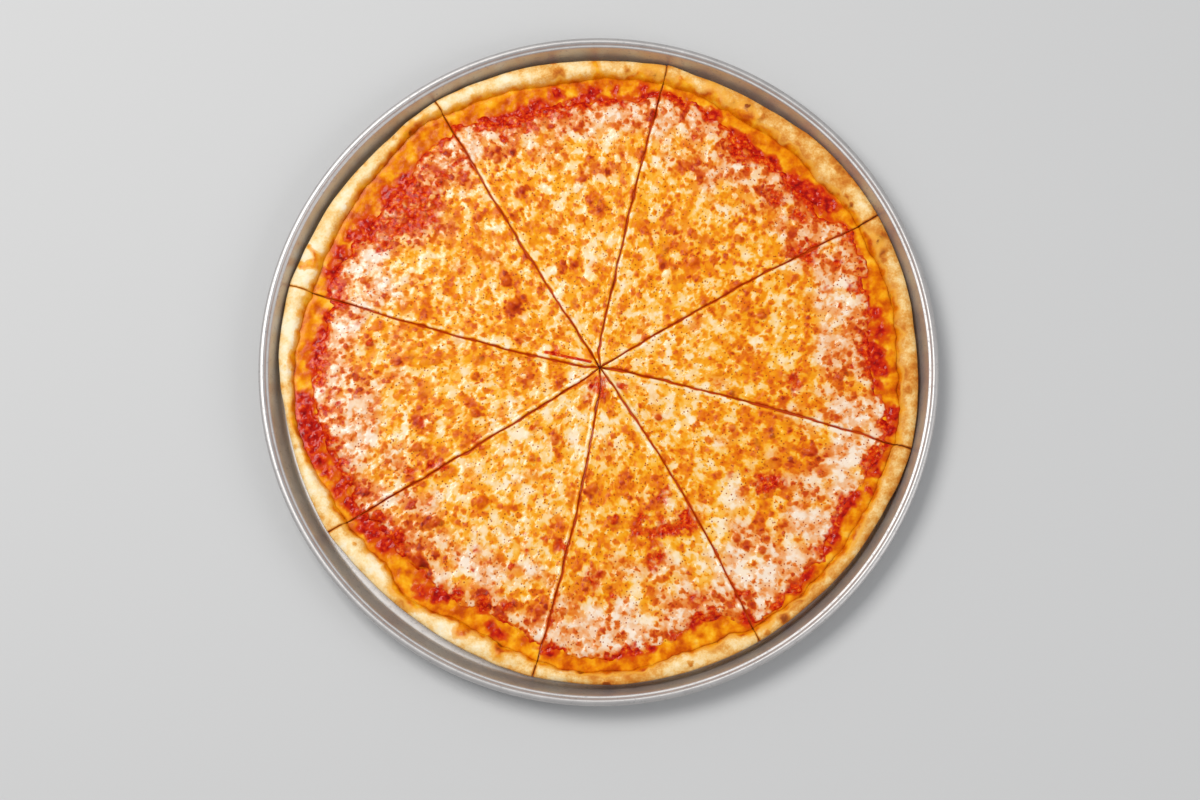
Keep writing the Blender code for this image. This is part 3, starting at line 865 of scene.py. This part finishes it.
def build_sauce(number, material):
    """A slice's sauce: a thin wet sheet that ends in the crease, with a skirt down into the dough."""
    part = Slice(number)
    share = closing_in(SAUCE_COLUMNS, 1.2)[None, :]
    inner = part.crease(share)
    out = np.concatenate([[0.0, 0.3, 0.6, 0.76], np.linspace(0.8, 1.0, SAUCE_ROWS - 5), [1.0]])[:, None]
    distance = part.tip + (inner + SAUCE_OVERLAP - part.tip) * out
    x, y = part.plan(distance, share)
    past_crease = distance - inner

    bent_x, bent_y = bent(x, y, 2.0, 7.0, 2, (201, 203))
    seam = distance - part.from_hub(part.radius("cheese", share), share) - 1.5
    red = 0.02 + patches(bent_x, bent_y, RED, SAUCE_SPREAD) + 0.12 * layered(x, y, 9.0, 2, 97)
    red = red + hump(seam, 0.0, 2.6) * (0.22 + 0.12 * y / PAN_RADIUS + 0.5 * layered(x, y, 14.0, 2, 99))
    pulpy = step(0.15, 0.5, red)
    beads = spots(bent_x, bent_y, 6.5, 207, 0.85, 2.2, 4.2)
    red = red - 0.22 * beads * pulpy

    # Painted shade: these masks darken the sauce along the cuts and in the crease through the side attribute;
    # cut_side also lowers the sauce at the cuts.
    cut_side = 1 - step(0.0, 1.0, part.to_cut(distance, share))
    crease_painted_shade = hump(past_crease, 0.5, 1.0) * (0.45 + 0.4 * layered(x, y, 15.0, 2, 75))
    lumps = 0.3 * layered(x, y, 8.0, 3, 95) + pulpy * (0.8 * beads + 0.2 * layered(x, y, 4.0, 2, 93))
    cover = np.clip(-past_crease / 4.0, 0, 1)
    z = sauce_height(past_crease) + cover * (lumps - 0.6 * cut_side)
    z[-1] = SAUCE_BOTTOM
    wedge_piece(f"sauce_layer_{part.name}", x, y, z, SAUCE_BOTTOM,
                {"red": red, "side": np.maximum(cut_side, crease_painted_shade)},
                material, f"sauce_{part.name}")


# The cheese

CHEESE_ROWS = 280
CHEESE_COLUMNS = 280
CHEESE_GAPE = 0.9
CHEESE_EDGE = 7.0
CHEESE_RAGGEDNESS = 4.4
BLISTER_WIDTH = 1.2


def blister(x, y, bent_x, bent_y, centre_x, centre_y, size):
    """The distance from a blister's middle in its own radii, its dome, and how far right and down of it,
    which sets the painted shade on its lower right.
    """
    away = np.hypot(bent_x - centre_x, bent_y - centre_y) / (BLISTER_WIDTH * size)
    return away, np.clip(1 - away ** 2, 0, 1) ** 1.5, x - centre_x - y + centre_y


def build_cheese(number, material):
    """A slice's cheese: a lumpy sheet with blisters, whose ragged edge dips under the sauce's surface.

    The grid's rows lie closer together outwards. The last two share their place in plan, and the outer wall
    stands between them.
    """
    part = Slice(number, CHEESE_GAPE)
    share = closing_in(CHEESE_COLUMNS, 1.15)[None, :]
    edge = part.from_hub(part.radius("cheese", share), share)
    inner = part.crease(share)
    reach = np.minimum(edge + CHEESE_EDGE, inner - 0.5)
    out = np.linspace(0, 1, CHEESE_ROWS)[:, None]
    out = np.minimum((1 - (1 - out) ** 1.12) * CHEESE_ROWS / (CHEESE_ROWS - 1), 1.0)
    distance = part.tip + (reach - part.tip) * out
    x, y = part.plan(distance, share)
    to_cut = part.to_cut(distance, share)
    from_axis = np.hypot(x, y)
    near_rim = step(125.0, 200.0, from_axis)

    # Patches, noise and spots of several sizes, which colour and relief share
    bent_x, bent_y = bent(x, y, 3.0, 7.5, 3, (101, 103))
    toasted = patches(bent_x, bent_y, TOASTED)
    pale = 0.4 * (1 - np.exp(-2.4 * patches(bent_x, bent_y, PALE)))
    lump = spots(bent_x, bent_y, 11.0, 171, 0.75, 2.6, 6.0)
    red = patches(bent_x, bent_y, RED) * (1 - 0.75 * lump)
    broad = layered(x, y, 40.0, 2, 121)
    blotch = layered(x, y, 12.0, 2, 109)
    mottle = layered(x, y, 5.2, 2, 107)
    bent_x, bent_y = bent(x, y, 1.25, 3.2, 2, (105, 106))
    small = spots(bent_x, bent_y, 5.8, 131, 0.75, 1.3, 2.8)
    large = spots(bent_x, bent_y, 12.0, 137, 0.6, 2.6, 5.6)
    pin = spots(x, y, 3.4, 141, 0.3, 0.6, 1.1)
    cream = step(-0.2, 0.5, layered(bent_x, bent_y, 11.0, 3, 151))
    cream = np.maximum(cream, 0.7 * step(0.1, 0.5, layered(bent_x, bent_y, 6.0, 2, 155)))
    browned = step(0.12, 0.5, layered(bent_x, bent_y, 11.0, 3, 157))

    # How brown it is: a level that varies softly, and spots on it
    density = 0.52 + 1.1 * layered(x, y, 20.0, 2, 113) + 2.4 * toasted - 1.1 * pale + 0.2 * near_rim
    density = np.clip(density, 0.12, 1.25)
    level = 0.47 + 0.07 * step(50.0, 120.0, from_axis) + 0.08 * broad + 0.12 * blotch + 0.1 * mottle
    level = level + 0.45 * toasted - 0.9 * pale - (0.36 + 0.02 * near_rim) * cream - 0.04 * near_rim
    spotted = (0.16 + 0.32 * density) * small + 0.36 * density * large + 0.2 * pin + 0.24 * density * browned
    spotted = spotted + 0.4 * small * (1 - small) + 0.6 * density * large * (1 - large)
    toast = level + (1 + 0.25 * near_rim - 1.2 * pale) * spotted
    toast = toast - 0.62 * np.clip(toast - 0.66, 0, 1)

    # How rosy and red it is, and where the edge leaves the sauce bare
    past_edge = distance - edge + CHEESE_RAGGEDNESS * layered(x, y, 13.0, 3, 165)
    bare = step(-1.4, 1.6, past_edge)
    rosy = 0.1 + near_rim * 0.7 + 0.5 * layered(x, y, 22.0, 2, 161) + 0.8 * pale + 0.8 * red
    red = 0.95 * (1 - np.exp(-1.3 * red))
    red = red + 0.4 * step(-8.0, 0.5, past_edge) * (0.75 + 0.5 * y / PAN_RADIUS + 1.2 * blotch)
    toast = toast + 0.3 * red
    red = red + 0.35 * np.maximum(small, large) * step(0.4, 0.95, rosy) * (1 - 1.8 * pale)
    red = red + 0.3 * layered(x, y, 6.5, 2, 163) * step(0.12, 0.45, red)

    # Relief
    z = CHEESE_TOP - 0.1 + 0.4 * lump * step(0.05, 0.4, red) + 0.4 * broad + 0.3 * blotch - 0.2 * mottle
    z = z + 0.4 * pale + 0.25 * cream + 0.3 * small + 0.35 * large
    z = z - 0.3 * step(0.35, 0.8, red) + 0.25 * step(0.3, 0.7, red) * layered(x, y, 4.4, 2, 167)
    bent_x, bent_y = bent(x, y, 1.3, 8.0, 1, (173, 175))
    for centre_x, centre_y, size, dark in BLISTERS:
        away, dome, lean = blister(x, y, bent_x, bent_y, centre_x, centre_y, size)
        z = z + 0.4 * size * dome
        mask = step(0.0, 0.7, dome)
        # Painted shade: each blister is coloured darker towards its lower right, away from the light.
        shaded = dark * (0.62 + 0.26 * lean / size) + 0.4 * mottle
        toast = toast * (1 - mask) + (0.58 + 0.38 * shaded) * mask + 0.2 * dark * hump(away, 1.2, 0.45)
        rosy = rosy + 0.5 * mask
    for centre_x, centre_y, size in RED_BLISTERS:
        away, dome, lean = blister(x, y, bent_x, bent_y, centre_x, centre_y, size)
        z = z + 0.5 * size * dome
        mask = step(0.0, 0.4, dome)
        # Painted shade: each sauce blister is coloured redder towards its lower right, away from the light.
        red = red * (1 - mask) + (0.75 + 0.1 * lean / size) * mask
        bare = bare * (1 - mask)
    for place in DRAGGED:
        on_strip = strip(x, y, place)
        z = z + 0.9 * on_strip
        toast = toast * (1 - 0.6 * on_strip)
        red = red + place[5] * on_strip

    # The thin outer edge, and the lips of the cuts, one lip of each cut painted paler as a highlight
    thin = np.sqrt(np.clip((2.0 - past_edge) / 8.0, 0, 1)) * step(0.0, 1.2, reach - distance)
    base = sauce_height(distance - inner) - 0.5
    z = base + (z - SAUCE_TOP + 0.5) * thin
    z = z + (0.3 * hump(to_cut, 1.7, 1.0) - 1.2 * np.clip(1 - to_cut / 1.1, 0, 1) ** 2) * thin
    z[-1] = CHEESE_BOTTOM
    # Painted highlight: the lip on this side of each slice is coloured paler, as if lit.
    highlit_side = step(0.2, 0.8, share)
    stained = step(-0.3, 0.5, layered(x, y, 11.0, 2, 169)) * hump(to_cut, 0.0, 2.2) * (1 - 0.6 * highlit_side)
    toast = toast + 0.25 * stained - 0.24 * hump(to_cut, 2.0, 1.1) * highlit_side
    red = red + (0.3 + 0.3 * near_rim) * stained
    # Painted shade: this mask darkens the cut faces, which lie in the shade of the narrow cuts.
    side = 1 - step(0.05, 0.8, to_cut)
    wedge_piece(f"cheese_layer_{part.name}", x, y, z, CHEESE_BOTTOM,
                {"toast": toast, "rosy": rosy, "red": red, "bare": bare, "side": side},
                material, f"cheese_{part.name}")


def build_pizza():
    crust, sauce, cheese = crust_finish(), sauce_finish(), cheese_finish()
    for number in range(len(SLICES)):
        build_crust(number, crust)
        build_sauce(number, sauce)
        build_cheese(number, cheese)


# Floor, light and camera

FLOOR_HALF = 3.0
CAMERA_TARGET = Vector((0.0, 0.0, 0.010))
CAMERA_ELEVATION = 79.0
CAMERA_DISTANCE = 1.7
CAMERA_LENS = 71.25
CAMERA_SHIFT = (0.0012, -0.0286)


def build_floor():
    mesh = bpy.data.meshes.new("floor")
    corners = [(-1, -1), (1, -1), (1, 1), (-1, 1)]
    mesh.from_pydata([(FLOOR_HALF * a, FLOOR_HALF * b, 0.0) for a, b in corners], [], [(0, 1, 2, 3)])
    floor = bpy.data.objects.new("floor", mesh)
    bpy.context.scene.collection.objects.link(floor)
    mesh.materials.append(Finish("pale_floor").paint(Base_Color=tone(205, 205, 205), Roughness=0.8))


def add_light(name, place, size, power, colour):
    data = bpy.data.lights.new(name, "AREA")
    data.shape = "RECTANGLE"
    data.size, data.size_y = size
    data.energy = power
    data.color = colour
    light = bpy.data.objects.new(name, data)
    light.location = place
    light.rotation_euler = (CAMERA_TARGET - Vector(place)).to_track_quat("-Z", "Y").to_euler()
    bpy.context.scene.collection.objects.link(light)


def light_scene():
    world = bpy.data.worlds.new("studio")
    world.use_nodes = True
    world.node_tree.nodes["Background"].inputs["Color"].default_value = (0.95, 0.97, 1.0, 1.0)
    world.node_tree.nodes["Background"].inputs["Strength"].default_value = 0.4
    bpy.context.scene.world = world
    add_light("window", (-1.0, 0.75, 2.1), (1.4, 1.1), 40.5, (1.0, 0.99, 0.97))
    add_light("fill", (1.8, -0.6, 1.4), (1.4, 1.4), 12.0, (1.0, 1.0, 1.0))
    bpy.context.scene.view_settings.view_transform = "Standard"


def place_camera():
    elevation = math.radians(CAMERA_ELEVATION)
    back = Vector((0.0, -math.cos(elevation), math.sin(elevation)))
    data = bpy.data.cameras.new("camera")
    data.lens = CAMERA_LENS
    data.sensor_width = 36.0
    data.shift_x, data.shift_y = CAMERA_SHIFT
    camera = bpy.data.objects.new("camera", data)
    camera.location = CAMERA_TARGET + back * CAMERA_DISTANCE
    camera.rotation_euler = (-back).to_track_quat("-Z", "Y").to_euler()
    bpy.context.scene.collection.objects.link(camera)
    bpy.context.scene.camera = camera


build_floor()
light_scene()
place_camera()
build_pan()
build_pizza()
